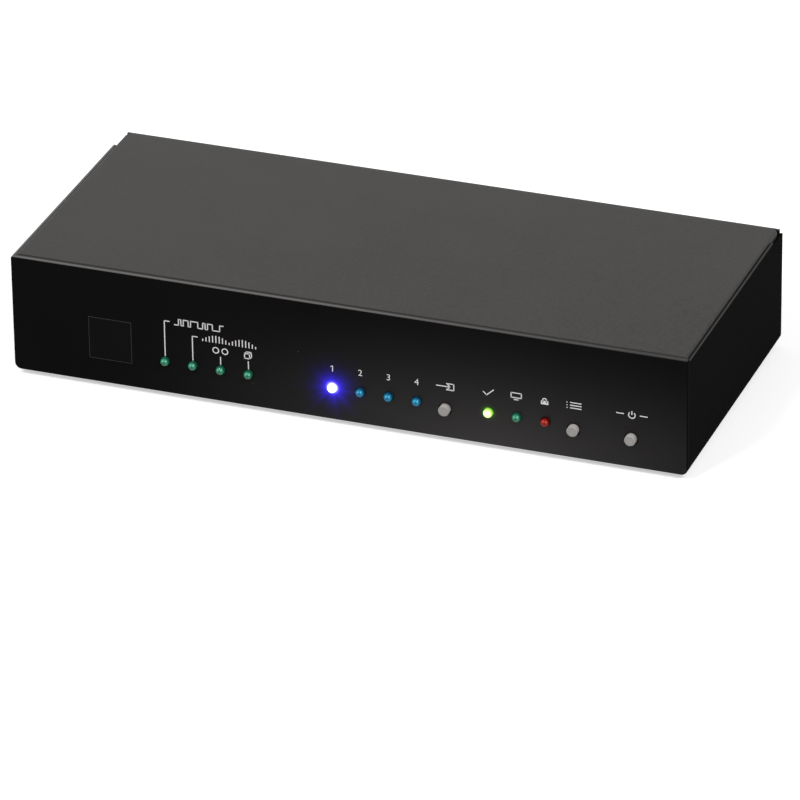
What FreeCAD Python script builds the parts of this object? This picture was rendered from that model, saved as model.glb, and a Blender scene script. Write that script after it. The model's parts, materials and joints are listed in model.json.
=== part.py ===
# Four-input audio and video selector in a folded steel case, in millimetres.
# X runs to the right seen from the front, the front panel faces -Y and Z is up. The origin lies on the plane
# that the feet stand on, in the middle of the whole footprint, from the front lamps to the rear jacks.

import FreeCAD, Part
import Sketcher
import math
import os
import re

from FreeCAD import Vector

SIZES = {
    # Case, without its feet
    "width": 220.0,
    "depth": 95.0,
    "height": 39.0,
    "sheet_wall": 0.8,
    "bend_radius": 2.2,
    "seam": 0.15,
    # Front panel and the studs on its back
    "face_wall": 1.6,
    "face_corner": 0.8,
    "face_edge": 0.45,
    "stud_radius": 1.5,
    "stud_length": 5.0,
    "stud_inset": 6.4,
    "stud_low": 13.0,
    "stud_high": 24.5,
    # Rear panel
    "panel_gap": 0.1,
    # Cover: how far it stands above the walls, its gap to them and its folded flanges
    "cover_rise": 0.5,
    "cover_gap": 0.25,
    "cover_bend": 0.95,
    "cover_corner": 1.8,
    "flange_height": 7.0,
    "flange_relief": 3.0,
    # Walls: the step beside the rear end of the cover, and the tabs that the panels are fixed to
    "rear_step_length": 10.0,
    "rear_step_height": 1.3,
    "tab_reach": 11.0,
    "tab_low": 8.5,
    "tab_high": 29.0,
    # Feet
    "foot_height": 2.0,
    "foot_radius": 6.0,
    "foot_inset": 15.0,
    "foot_edge": 0.5,
    # Distances across the case, here and below: x is from its left side, inset from its right side, and
    # offset from its middle, to the right. Heights are from its underside.
    # Remote-control window and receiver
    "window_x": 32.55,
    "window_z": 15.25,
    "window_side": 14.2,
    "window_gap": 0.06,
    "window_lip": 1.3,
    "window_lip_wall": 0.9,
    "receiver_width": 5.6,
    "receiver_height": 7.0,
    "receiver_depth": 2.6,
    "receiver_dome": 2.3,
    "receiver_gap": 0.6,
    "receiver_lead_pitch": 1.9,
    # Lamps in their carriers
    "led_height": 11.0,
    "led_radius": 1.5,
    "led_reach": 1.8,
    "led_length": 5.3,
    "led_hole_gap": 0.12,
    "led_pitch": 9.17,
    "audio_led_x": 50.8,
    "input_led_offset": -4.2,
    "status_led_offset": 46.4,
    "lead_side": 0.5,
    "lead_pitch": 2.54,
    "lead_gap": 0.25,
    "carrier_depth": 5.0,
    "carrier_side": 6.2,
    # Push buttons and the switches that they belong to
    "button_height": 9.75,
    "button_radius": 1.75,
    "button_reach": 1.7,
    "button_edge": 0.25,
    "button_hole_radius": 2.15,
    "button_travel": 0.25,
    "button_slide_gap": 0.07,
    "button_end_gap": 0.15,
    "collar_radius": 2.4,
    "collar_wall": 0.7,
    "collar_gap": 0.3,
    "input_button_offset": 32.4,
    "edid_button_offset": 73.7,
    "power_button_inset": 17.9,
    "switch_side": 6.4,
    "switch_depth": 4.4,
    "switch_face_wall": 0.8,
    "switch_front": 4.0,
    # Circuit board on its six-sided pillars
    "board_wall": 1.6,
    "board_front": 3.6,
    "board_margin": 4.0,
    "board_rear_gap": 1.2,
    "standoff_height": 3.7,
    "standoff_side": 5.5,
    "standoff_inset_x": 12.0,
    "standoff_inset_y": 8.0,
    # M3 screws and nuts
    "screw_radius": 1.5,
    "head_radius": 2.8,
    "head_height": 1.8,
    "board_screw_length": 4.6,
    "rear_screw_length": 5.0,
    "rear_screw_inset": 6.4,
    "rear_screw_low": 13.0,
    "rear_screw_drop": 4.6,
    "thread_gap": 0.05,
    "hole_gap": 0.2,
    "nut_side": 5.5,
    "nut_height": 2.4,
    # Video sockets
    "socket_gap": 0.2,
    "insert_gap": 0.05,
    "hdmi_out_x": 53.5,
    "hdmi_in_offset": -29.5,
    "hdmi_pitch": 19.5,
    "hdmi_width": 14.0,
    "hdmi_height": 4.55,
    "hdmi_slant": 1.9,
    "hdmi_wall": 0.35,
    "hdmi_depth": 12.6,
    "hdmi_reach": 0.5,
    "hdmi_back": 2.8,
    "tongue_width": 11.0,
    "tongue_wall": 1.5,
    "tongue_low": 1.6,
    "tongue_length": 8.0,
    # Phono jacks
    "coax_jack_x": 37.0,
    "left_jack_inset": 55.5,
    "right_jack_inset": 40.5,
    "jack_height": 7.2,
    "jack_side": 11.6,
    "jack_top": 13.4,
    "jack_depth": 10.0,
    "jack_collar_radius": 4.9,
    "jack_collar_reach": 0.8,
    "jack_reach": 9.0,
    "barrel_radius": 4.15,
    "barrel_wall": 0.6,
    "core_recess": 0.8,
    "core_bore_radius": 1.65,
    "core_bore_depth": 8.0,
    # Power inlet
    "inlet_inset": 21.0,
    "inlet_height": 6.5,
    "inlet_side": 9.0,
    "inlet_top": 11.0,
    "inlet_depth": 13.0,
    "inlet_nose_radius": 4.0,
    "inlet_reach": 0.5,
    "inlet_bore_radius": 3.15,
    "inlet_bore_depth": 9.0,
    "inlet_pin_radius": 1.05,
    "inlet_pin_recess": 0.8,
    # Optical port and its shutter
    "optical_x": 22.0,
    "optical_height": 5.2,
    "optical_side": 10.0,
    "optical_depth": 13.5,
    "optical_reach": 0.5,
    "mouth_width": 7.8,
    "mouth_height": 7.6,
    "mouth_depth": 10.0,
    "mouth_corner": 1.2,
    "lens_radius": 1.1,
    "lens_length": 1.0,
    "shutter_wall": 0.7,
    "shutter_gap": 0.25,
    "shutter_recess": 0.4,
    "knuckle_radius": 0.55,
    "pivot_radius": 0.35,
    "pivot_gap": 0.05,
    "pivot_length": 0.8,
    # Chips and capacitors on the board; distances back are from the front face of the case
    "chip_wall": 1.2,
    "video_chip_side": 14.0,
    "video_chip_x": 118.0,
    "video_chip_y": 52.0,
    "audio_chip_side": 10.0,
    "audio_chip_x": 165.0,
    "audio_chip_y": 42.0,
    "controller_chip_side": 7.0,
    "controller_chip_x": 70.0,
    "controller_chip_y": 34.0,
    "heatsink_height": 9.0,
    "heatsink_base": 2.0,
    "fin_wall": 1.0,
    "fin_pitch": 3.25,
    "capacitor_radius": 4.0,
    "capacitor_height": 11.5,
    "capacitor_x": 178.0,
    "capacitor_y": 60.0,
    "capacitor_pitch": 10.0,
}

# Places that follow from the sizes. The case's left side, front face and underside are its own zero lines.
FRONT = "((max(led_reach; button_reach) - jack_reach - depth) / 2)"
LEFT = "(-width / 2)"
RIGHT = "(width / 2)"
CASE_FRONT = "(face_wall + seam)"
TAB_REAR = "(depth - 2 * sheet_wall)"
WALL_TOP = "(height - cover_rise)"
COVER_HALF = "(width / 2 - sheet_wall - cover_gap)"
COVER_REAR = "(depth - sheet_wall - cover_gap)"
BOARD_HALF = "(width / 2 - sheet_wall - board_margin)"
BOARD_REAR = "(depth - sheet_wall - board_rear_gap)"
BOARD_TOP = "(sheet_wall + standoff_height + board_wall)"
ON_BOARD = f"foot_height + {BOARD_TOP}"
LED_BACK = "(led_length - led_reach)"

SIDES = (-1, 1)
RECEIVER_LEADS = (-1, 0, 1)
VIDEO_INPUTS = 4
CAPACITORS = 3
STUD_PLACES = [(f"{side} * (width / 2 - stud_inset)", z) for side in SIDES for z in ("stud_low", "stud_high")]
REAR_SCREWS_X = [f"{side} * (width / 2 - rear_screw_inset)" for side in SIDES]
REAR_SCREWS_Z = ["rear_screw_low", "(height - rear_screw_drop)"]
STANDOFF_PLACES = [
    (f"{side} * (width / 2 - sheet_wall - standoff_inset_x)", y) for side in SIDES
    for y in ("(board_front + standoff_inset_y)", f"({BOARD_REAR} - standoff_inset_y)")
]
LED_ROWS = {
    "audio": (f"{LEFT} + audio_led_x", ["bitstream", "multichannel", "stereo", "three_d"]),
    "input": ("input_led_offset", ["input_1", "input_2", "input_3", "input_4"]),
    "status": ("status_led_offset", ["standard", "television", "lock"]),
}
BUTTONS = {
    "input": "input_button_offset",
    "edid": "edid_button_offset",
    "power": f"{RIGHT} - power_button_inset",
}
HDMI = {"out": f"{LEFT} + hdmi_out_x"}
for i in range(VIDEO_INPUTS):
    HDMI[f"in_{i + 1}"] = f"hdmi_in_offset + {i} * hdmi_pitch"
JACKS = {
    "coax": f"{LEFT} + coax_jack_x",
    "left": f"{RIGHT} - left_jack_inset",
    "right": f"{RIGHT} - right_jack_inset",
}
INLET = f"{RIGHT} - inlet_inset"
OPTICAL = f"{LEFT} + optical_x"

doc = FreeCAD.newDocument("Selector")
sheet = doc.addObject("Spreadsheet::Sheet", "Sizes")
for row, (alias, size) in enumerate(SIZES.items(), start=1):
    sheet.set(f"A{row}", alias.replace("_", " "))
    sheet.set(f"B{row}", str(size))
    sheet.setAlias(f"B{row}", alias)
doc.recompute()

pieces = []


# Formulas

def bound(formula):
    return re.sub(r"[a-z_]\w*", lambda word: f"Sizes.{word[0]}" if word[0] in SIZES else word[0], formula)


def value(formula):
    return float(sheet.evalExpression(bound(formula)))


def bind(target, **formulas):
    for name, formula in formulas.items():
        target.setExpression(name, bound(formula))


def place(target, x="0", y=FRONT, z="foot_height"):
    for axis, formula in zip("xyz", (x, y, z)):
        target.setExpression(f".Placement.Base.{axis}", bound(formula))


# Sketch loops: each is drawn at its real place and held there by constraints that read the sheet

def fix_point(sketch, edge, end, across, up):
    for direction, formula in (("DistanceX", across), ("DistanceY", up)):
        index = sketch.addConstraint(Sketcher.Constraint(direction, -1, 1, edge, end, value(formula)))
        sketch.setExpression(f"Constraints[{index}]", bound(formula))


def fix_radius(sketch, edge, formula):
    index = sketch.addConstraint(Sketcher.Constraint("Radius", edge, value(formula)))
    sketch.setExpression(f"Constraints[{index}]", bound(formula))


def circle(across, up, radius):
    def draw(sketch):
        centre = Vector(value(across), value(up), 0)
        edge = sketch.addGeometry(Part.Circle(centre, Vector(0, 0, 1), value(radius)))
        fix_point(sketch, edge, 3, across, up)
        fix_radius(sketch, edge, radius)

    return draw


# A corner is (across, up), or (across, up, turn, radius) where an arc arrives at it instead of a straight
# edge, turning left (1) or right (-1) on its way
def outline(*corners):
    def draw(sketch):
        points = [Vector(value(corner[0]), value(corner[1]), 0) for corner in corners]
        ends = []
        for i, corner in enumerate(corners):
            start, end = points[i - 1], points[i]
            if len(corner) == 2:
                edge = sketch.addGeometry(Part.LineSegment(start, end))
                ends.append((edge, 1, 2))
                continue
            turn, radius = corner[2], value(corner[3])
            half = (end - start) / 2
            side = Vector(-half.y, half.x, 0).normalize() * turn
            centre = start + half + side * math.sqrt(max(radius**2 - half.Length**2, 0))
            angles = [math.atan2(point.y - centre.y, point.x - centre.x) for point in (start, end)[::turn]]
            edge = sketch.addGeometry(Part.ArcOfCircle(Part.Circle(centre, Vector(0, 0, 1), radius), *angles))
            fix_radius(sketch, edge, corner[3])
            ends.append((edge, *(1, 2)[::turn]))
        for i, corner in enumerate(corners):
            edge, _, end = ends[i]
            following, start, _ = ends[(i + 1) % len(corners)]
            sketch.addConstraint(Sketcher.Constraint("Coincident", edge, end, following, start))
            fix_point(sketch, edge, end, corner[0], corner[1])

    return draw


def rectangle(left, low, right, high):
    return outline((left, low), (right, low), (right, high), (left, high))


# A rectangle given by its centre and half sizes
def centred(across, up, half_width, half_height):
    return rectangle(f"{across} - {half_width}", f"{up} - {half_height}",
                     f"{across} + {half_width}", f"{up} + {half_height}")


# Features of a body

def new_body(label, **where):
    body = doc.addObject("PartDesign::Body", label)
    place(body, **where)
    pieces.append(body)
    return body


def sketch_on(body, plane, offset, loops):
    support = next(item for item in body.Origin.OriginFeatures if item.Role == f"{plane}_Plane")
    sketch = body.newObject("Sketcher::SketchObject", f"{body.Name}_sketch")
    sketch.AttachmentSupport = (support, [""])
    sketch.MapMode = "FlatFace"
    sketch.setExpression(".AttachmentOffset.Base.z", bound(f"-({offset})" if plane == "XZ" else offset))
    for loop in loops:
        loop(sketch)
    return sketch


# A pad and a pocket both run from their start towards the positive end of the axis across the sketch
def pad(body, plane, start, length, *loops):
    feature = body.newObject("PartDesign::Pad", f"{body.Name}_pad")
    feature.Profile = sketch_on(body, plane, start, loops)
    feature.Reversed = plane == "XZ"
    bind(feature, Length=length)
    doc.recompute()
    return feature


def pocket(body, plane, start, length, *loops):
    before = body.Shape.Volume
    feature = body.newObject("PartDesign::Pocket", f"{body.Name}_pocket")
    feature.Profile = sketch_on(body, plane, start, loops)
    feature.Reversed = plane != "XZ"
    bind(feature, Length=length)
    doc.recompute()
    if feature.Shape.Volume > before - 1e-6:
        raise RuntimeError(f"{feature.Name} cuts nothing")


# Turns a half outline, given as distances along Y and radii, about the body's own Y axis
def revolve(body, *corners):
    feature = body.newObject("PartDesign::Revolution", f"{body.Name}_revolution")
    sketch = sketch_on(body, "YZ", "0", [outline(*corners)])
    feature.Profile = sketch
    feature.ReferenceAxis = (sketch, ["H_Axis"])
    feature.Angle = 360
    doc.recompute()


# Rounds or chamfers the edges that the test picks
def dress(body, kind, size, test):
    base = body.Tip
    names = [f"Edge{i}" for i, edge in enumerate(base.Shape.Edges, start=1) if test(edge)]
    feature = body.newObject(f"PartDesign::{kind}", f"{body.Name}_{kind.lower()}")
    feature.Base = (base, names)
    bind(feature, **{"Radius" if kind == "Fillet" else "Size": size})
    doc.recompute()


# Whether an edge lies in the plane where one coordinate has the given value
def lies_at(edge, axis, formula):
    limits = [getattr(edge.BoundBox, f"{axis.upper()}{end}") for end in ("Min", "Max")]
    return all(abs(limit - value(formula)) < 1e-4 for limit in limits)


# Primitives, for plain pieces

ALONG = {
    "z": FreeCAD.Rotation(),
    "-z": FreeCAD.Rotation(Vector(1, 0, 0), 180),
    "y": FreeCAD.Rotation(Vector(1, 0, 0), -90),
    "-y": FreeCAD.Rotation(Vector(1, 0, 0), 90),
}


def block(x, y, z, width, depth, height):
    shape = doc.addObject("Part::Box", "block")
    bind(shape, Length=width, Width=depth, Height=height)
    place(shape, x, y, z)
    return shape


def rod(x, y, z, radius, length, along="z"):
    shape = doc.addObject("Part::Cylinder", "rod")
    bind(shape, Radius=radius, Height=length)
    shape.Placement.Rotation = ALONG[along]
    place(shape, x, y, z)
    return shape


# A six-sided bar given by its width across the flats
def hexagon(x, y, z, side, length, along="z"):
    shape = doc.addObject("Part::Prism", "hexagon")
    shape.Polygon = 6
    bind(shape, Circumradius=f"{side} / sqrt(3)", Height=length)
    shape.Placement.Rotation = ALONG[along]
    place(shape, x, y, z)
    return shape


def cut(base, tool):
    shape = doc.addObject("Part::Cut", "cut")
    shape.Base = base
    shape.Tool = tool
    return shape


def fused(shapes):
    shape = doc.addObject("Part::MultiFuse", "fused")
    shape.Shapes = shapes
    return shape


# Names shapes as one piece and sets it down in the case. Several shapes stay separate solids of one kind.
def piece(label, *shapes, **where):
    whole = doc.addObject("Part::Compound", label)
    whole.Links = shapes
    place(whole, **where)
    pieces.append(whole)


# A pan-head screw whose head rests at the given point; the shank runs on from there
def screw(x, y, z, length, along):
    back = {"y": "-y", "-y": "y", "z": "-z", "-z": "z"}[along]
    shank = rod(x, y, z, "screw_radius", length, along)
    return fused([shank, rod(x, y, z, "head_radius", "head_height", back)])


# Case: a channel folded from one sheet, with tabs turned in at both ends of its walls

def make_base_tray():
    tray = new_body("base_tray")
    half, wall, bend = "width / 2", "sheet_wall", "bend_radius"
    inner, inner_bend = f"({half} - {wall})", f"({bend} - {wall})"
    pad(tray, "XZ", CASE_FRONT, f"depth - {CASE_FRONT}", outline(
        (f"-{half}", WALL_TOP), (f"-{half}", bend), (f"-{half} + {bend}", "0", 1, bend),
        (f"{half} - {bend}", "0"), (half, bend, 1, bend), (half, WALL_TOP),
        (inner, WALL_TOP), (inner, bend), (f"{half} - {bend}", wall, -1, inner_bend),
        (f"-{half} + {bend}", wall), (f"-{inner}", bend, -1, inner_bend), (f"-{inner}", WALL_TOP),
    ))
    tabs = [(f"{side} * ({half} - {wall} / 2)", f"{side} * ({inner} - tab_reach)") for side in SIDES]
    for start in (CASE_FRONT, TAB_REAR):
        pad(tray, "XZ", start, wall, *[rectangle(root, "tab_low", end, "tab_high") for root, end in tabs])
    pocket(tray, "XZ", CASE_FRONT, wall, *[circle(x, z, "stud_radius + thread_gap") for x, z in STUD_PLACES])
    pocket(tray, "XZ", TAB_REAR, wall, *[
        circle(x, REAR_SCREWS_Z[0], "screw_radius + thread_gap") for x in REAR_SCREWS_X
    ])
    pocket(tray, "YZ", f"-{half} - seam", "width + 2 * seam", rectangle(
        "depth - rear_step_length", f"{WALL_TOP} - rear_step_height", "depth + seam", "height"))


# Cover: a pressed lid that nests between the walls, its skirt cut away at the corners
def make_top_cover():
    cover = new_body("top_cover")
    wall, half, relief = "sheet_wall", COVER_HALF, "flange_relief"
    low = "height - flange_height"
    pad(cover, "XY", low, "flange_height", rectangle(f"-{half}", CASE_FRONT, half, COVER_REAR))
    dress(cover, "Fillet", "cover_corner", lambda edge: (
        lies_at(edge, "y", COVER_REAR) and any(lies_at(edge, "x", f"{side} * {half}") for side in SIDES)))
    dress(cover, "Fillet", "cover_bend", lambda edge: lies_at(edge, "z", "height"))
    pocket(cover, "XY", low, f"flange_height - {wall}", rectangle(
        f"-{half} + {wall}", f"{CASE_FRONT} + {wall}", f"{half} - {wall}", f"{COVER_REAR} - {wall}"))
    pocket(cover, "XY", low, "flange_height - 2 * cover_bend", *[
        rectangle(f"{side} * ({half} + seam)", start, f"{side} * ({half} - {relief})", end)
        for side in SIDES
        for start, end in (
            (f"{CASE_FRONT} - seam", f"{CASE_FRONT} + {relief}"),
            (f"{COVER_REAR} - {relief}", f"{COVER_REAR} + seam"),
        )
    ])
    pocket(cover, "XZ", f"{COVER_REAR} - 2 * {wall}", f"3 * {wall}", *[
        circle(x, REAR_SCREWS_Z[1], "screw_radius + thread_gap") for x in REAR_SCREWS_X
    ])


# Front panel: the lamps and buttons reach through it, and the window is let into it
def make_front_panel():
    panel = new_body("front_panel")
    half, bend, corner = "width / 2", "bend_radius", "face_corner"
    start, length = "-seam", "face_wall + 2 * seam"
    pad(panel, "XZ", "0", "face_wall", outline(
        (f"-{half}", bend), (f"-{half} + {bend}", "0", 1, bend), (f"{half} - {bend}", "0"),
        (half, bend, 1, bend), (half, f"height - {corner}"), (f"{half} - {corner}", "height", 1, corner),
        (f"-{half} + {corner}", "height"), (f"-{half}", f"height - {corner}", 1, corner),
    ))
    dress(panel, "Fillet", "face_edge", lambda edge: lies_at(edge, "y", "0"))
    reach = "(window_side / 2 + window_gap)"
    pocket(panel, "XZ", start, length, centred(f"{LEFT} + window_x", "window_z", reach, reach))
    pocket(panel, "XZ", start, length, *[
        circle(led_x(row, i), "led_height", "led_radius + led_hole_gap")
        for row, (_, leds) in LED_ROWS.items() for i in range(len(leds))
    ])
    pocket(panel, "XZ", start, length, *[
        circle(x, "button_height", "button_hole_radius") for x in BUTTONS.values()
    ])
    pad(panel, "XZ", "face_wall", "stud_length", *[circle(x, z, "stud_radius") for x, z in STUD_PLACES])


def led_x(row, i):
    return f"{LED_ROWS[row][0]} + {i} * led_pitch"


# Rear panel: screwed to the tabs of the tray and to the skirt of the cover
def make_rear_panel():
    panel = new_body("rear_panel")
    half, corner = "(width / 2 - sheet_wall - panel_gap)", "bend_radius"
    start, length = "depth - sheet_wall - seam", "sheet_wall + 2 * seam"
    pad(panel, "XZ", "depth - sheet_wall", "sheet_wall", outline(
        (f"-{half}", f"sheet_wall + {corner}"), (f"-{half} + {corner}", "sheet_wall", 1, corner),
        (f"{half} - {corner}", "sheet_wall"), (half, f"sheet_wall + {corner}", 1, corner),
        (half, WALL_TOP), (f"-{half}", WALL_TOP),
    ))
    pocket(panel, "XZ", start, length, *[
        hdmi_outline("(hdmi_wall + socket_gap)", f"({x})", f"{BOARD_TOP} + hdmi_wall")
        for x in HDMI.values()
    ])
    pocket(panel, "XZ", start, length, *[
        circle(x, f"{BOARD_TOP} + jack_height", "jack_collar_radius + socket_gap") for x in JACKS.values()
    ])
    pocket(panel, "XZ", start, length, circle(
        INLET, f"{BOARD_TOP} + inlet_height", "inlet_nose_radius + socket_gap"))
    pocket(panel, "XZ", start, length, rectangle(
        f"{OPTICAL} - optical_side / 2 - socket_gap", f"{BOARD_TOP} - socket_gap",
        f"{OPTICAL} + optical_side / 2 + socket_gap",
        f"{BOARD_TOP} + optical_height + optical_side / 2 + socket_gap"))
    pocket(panel, "XZ", start, length, *[
        circle(x, z, "screw_radius + hole_gap") for x in REAR_SCREWS_X for z in REAR_SCREWS_Z
    ])


def make_feet():
    for end, y in (("front", "foot_inset"), ("rear", "depth - foot_inset")):
        for name, side in (("left", -1), ("right", 1)):
            x = f"{side} * (width / 2 - foot_inset)"
            foot = new_body(f"foot_{end}_{name}", x=x, y=f"{FRONT} + {y}", z="0")
            pad(foot, "XY", "0", "foot_height", circle("0", "0", "foot_radius"))
            dress(foot, "Chamfer", "foot_edge", lambda edge: lies_at(edge, "z", "0"))


# Remote control: a tinted window glued behind the panel, and the receiver that looks through it

def make_ir_window():
    pane = new_body("ir_window", x=f"{LEFT} + window_x", z="foot_height + window_z")
    side, lip = "window_side / 2", "(window_side / 2 + window_lip)"
    pad(pane, "XZ", "0", "face_wall", centred("0", "0", side, side))
    pad(pane, "XZ", "face_wall", "window_lip_wall", centred("0", "0", lip, lip))


def make_ir_receiver():
    receiver = new_body("ir_receiver", x=f"{LEFT} + window_x", z="foot_height + window_z")
    tip = "(face_wall + window_lip_wall + receiver_gap)"
    front = f"({tip} + receiver_dome)"
    revolve(receiver, (tip, "0"), (front, "receiver_dome", -1, "receiver_dome"),
            (f"{front} + receiver_depth", "receiver_dome"), (f"{front} + receiver_depth", "0"))
    pad(receiver, "XZ", front, "receiver_depth", centred(
        "0", "0", "receiver_width / 2", "receiver_height / 2"))
    for i in RECEIVER_LEADS:
        pad(receiver, "XZ", f"{front} + receiver_depth / 2", "lead_side", rectangle(
            f"{i} * receiver_lead_pitch - lead_side / 2", f"{BOARD_TOP} - window_z",
            f"{i} * receiver_lead_pitch + lead_side / 2", "-receiver_height / 2 + lead_side"))


# Lamps: each row sits in one moulded carrier, through which the bent leads run down to the board

def make_led(name, x):
    led = new_body(f"led_{name}", x=x, z="foot_height + led_height")
    tip, back = "-led_reach", LED_BACK
    revolve(led, (tip, "0"), (f"{tip} + led_radius", "led_radius", -1, "led_radius"),
            (back, "led_radius"), (back, "0"))
    turn, foot, half = f"({back} + carrier_depth + lead_gap)", f"{BOARD_TOP} - led_height", "lead_side / 2"
    for side in SIDES:
        pad(led, "YZ", f"{side} * lead_pitch / 2 - {half}", "lead_side", outline(
            (f"{back} - {half}", f"-{half}"), (turn, f"-{half}"), (turn, foot),
            (f"{turn} + lead_side", foot), (f"{turn} + lead_side", half), (f"{back} - {half}", half)))


def make_led_carrier(row, count):
    carrier = new_body(f"led_carrier_{row}")
    half = "carrier_side / 2"
    pad(carrier, "XZ", LED_BACK, "carrier_depth", rectangle(
        f"{led_x(row, 0)} - {half}", BOARD_TOP, f"{led_x(row, count - 1)} + {half}", f"led_height + {half}"))
    channel = "(lead_side / 2 + lead_gap)"
    pocket(carrier, "XZ", LED_BACK, "carrier_depth", *[
        centred(f"{led_x(row, i)} + {side} * lead_pitch / 2", "led_height", channel, channel)
        for i in range(count) for side in SIDES
    ])


# Push buttons: each is the long plunger of a switch that lies on its side behind the panel

def make_button(name, x):
    button = new_body(f"{name}_button", x=x, z="foot_height + button_height")
    tip, edge, shaft = "-button_reach", "button_edge", "button_radius"
    collar = "(switch_front + switch_face_wall + button_end_gap)"
    back = f"{collar} + collar_wall"
    revolve(button, (tip, "0"), (tip, f"{shaft} - {edge}"), (f"{tip} + {edge}", shaft), (collar, shaft),
            (collar, "collar_radius"), (back, "collar_radius"), (back, "0"))


def make_switch(name, x):
    switch = new_body(f"{name}_switch", x=x, z="foot_height + button_height")
    half = "switch_side / 2"
    pad(switch, "XZ", "switch_front", "switch_depth", rectangle(
        f"-{half}", f"{BOARD_TOP} - button_height", half, half))
    cavity = "collar_wall + button_travel + 2 * button_end_gap"
    pocket(switch, "XZ", "switch_front", "switch_face_wall", circle(
        "0", "0", "button_radius + button_slide_gap"))
    pocket(switch, "XZ", "switch_front + switch_face_wall", cavity, circle(
        "0", "0", "collar_radius + collar_gap"))


# Circuit board on four pillars

def make_board():
    board = new_body("main_board")
    low = "sheet_wall + standoff_height"
    pad(board, "XY", low, "board_wall", rectangle(f"-{BOARD_HALF}", "board_front", BOARD_HALF, BOARD_REAR))
    pocket(board, "XY", low, "board_wall", *[
        circle(x, y, "screw_radius + hole_gap") for x, y in STANDOFF_PLACES
    ])
    piece("board_standoffs", *[
        cut(hexagon(x, y, "sheet_wall", "standoff_side", "standoff_height"),
            rod(x, y, "sheet_wall", "screw_radius + thread_gap", "standoff_height"))
        for x, y in STANDOFF_PLACES
    ])
    piece("board_screws", *[screw(x, y, BOARD_TOP, "board_screw_length", "-z") for x, y in STANDOFF_PLACES])


def make_fasteners():
    piece("rear_screws", *[screw(x, "depth", z, "rear_screw_length", "-y") for x in REAR_SCREWS_X
                           for z in REAR_SCREWS_Z])
    piece("panel_nuts", *[
        cut(hexagon(x, f"{CASE_FRONT} + sheet_wall", z, "nut_side", "nut_height", "y"),
            rod(x, CASE_FRONT, z, "stud_radius + thread_gap", "nut_height + 2 * sheet_wall", "y"))
        for x, z in STUD_PLACES
    ])


# Video sockets: a folded metal shell with slanted lower corners around a moulded tongue

# The inside of the shell grown by a wall, with the inside's floor at the given height. The walls stay equally
# thick round the slants, which lie at 45 degrees.
def hdmi_outline(grown, across="0", floor="0"):
    half, slant = f"(hdmi_width / 2 + {grown})", f"(hdmi_slant + {grown} * (2 - sqrt(2)))"
    low, high = f"{floor} - {grown}", f"{floor} + hdmi_height + {grown}"
    return outline(
        (f"{across} - {half} + {slant}", low), (f"{across} + {half} - {slant}", low),
        (f"{across} + {half}", f"{low} + {slant}"), (f"{across} + {half}", high),
        (f"{across} - {half}", high), (f"{across} - {half}", f"{low} + {slant}"),
    )


def make_hdmi(name, x):
    where = {"x": x, "y": f"{FRONT} + depth", "z": f"{ON_BOARD} + hdmi_wall"}
    back = "hdmi_reach - hdmi_depth"
    shell = new_body(f"hdmi_{name}_shell", **where)
    pad(shell, "XZ", back, "hdmi_depth", hdmi_outline("hdmi_wall"))
    pocket(shell, "XZ", f"{back} + hdmi_wall", "hdmi_depth", hdmi_outline("0"))
    tongue = new_body(f"hdmi_{name}_tongue", **where)
    pad(tongue, "XZ", f"{back} + hdmi_wall", "hdmi_back", hdmi_outline("-insert_gap"))
    pad(tongue, "XZ", f"{back} + hdmi_wall + hdmi_back", "tongue_length", rectangle(
        "-tongue_width / 2", "tongue_low", "tongue_width / 2", "tongue_low + tongue_wall"))


# Phono jacks: a moulded body with a hollow core, and the metal barrel around the core
def make_jack(name, x):
    where = {"x": x, "y": f"{FRONT} + depth", "z": ON_BOARD}
    body = new_body(f"{name}_jack_body", **where)
    pad(body, "XZ", "-sheet_wall - jack_depth", "jack_depth", rectangle(
        "-jack_side / 2", "0", "jack_side / 2", "jack_top"))
    pad(body, "XZ", "-sheet_wall", "sheet_wall + jack_collar_reach", circle(
        "0", "jack_height", "jack_collar_radius"))
    inner = "(barrel_radius - barrel_wall)"
    pad(body, "XZ", "jack_collar_reach", "jack_reach - core_recess - jack_collar_reach", circle(
        "0", "jack_height", f"{inner} - insert_gap"))
    pocket(body, "XZ", "jack_reach - core_recess - core_bore_depth", "core_bore_depth", circle(
        "0", "jack_height", "core_bore_radius"))
    barrel = new_body(f"{name}_jack_barrel", **where)
    pad(barrel, "XZ", "jack_collar_reach", "jack_reach - jack_collar_reach",
        circle("0", "jack_height", "barrel_radius"), circle("0", "jack_height", inner))


def make_inlet():
    where = {"x": INLET, "y": f"{FRONT} + depth", "z": ON_BOARD}
    body = new_body("dc_inlet_body", **where)
    pad(body, "XZ", "-sheet_wall - inlet_depth", "inlet_depth", rectangle(
        "-inlet_side / 2", "0", "inlet_side / 2", "inlet_top"))
    pad(body, "XZ", "-sheet_wall", "sheet_wall + inlet_reach", circle(
        "0", "inlet_height", "inlet_nose_radius"))
    floor = "inlet_reach - inlet_bore_depth"
    pocket(body, "XZ", floor, "inlet_bore_depth", circle("0", "inlet_height", "inlet_bore_radius"))
    pin = new_body("dc_inlet_pin", **where)
    pad(pin, "XZ", floor, "inlet_bore_depth - inlet_pin_recess", circle(
        "0", "inlet_height", "inlet_pin_radius"))


# Optical port: a mouth with cut lower corners, closed by a sprung shutter that a plug swings in and up under
# the roof

# The mouth's outline drawn in by a gap, up to the given height
def mouth_outline(gap, high):
    half, corner = f"(mouth_width / 2 - {gap})", "mouth_corner"
    low = f"optical_height - mouth_height / 2 + {gap}"
    return outline((f"-{half} + {corner}", low), (f"{half} - {corner}", low), (half, f"{low} + {corner}"),
                   (half, high), (f"-{half}", high), (f"-{half}", f"{low} + {corner}"))


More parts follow.
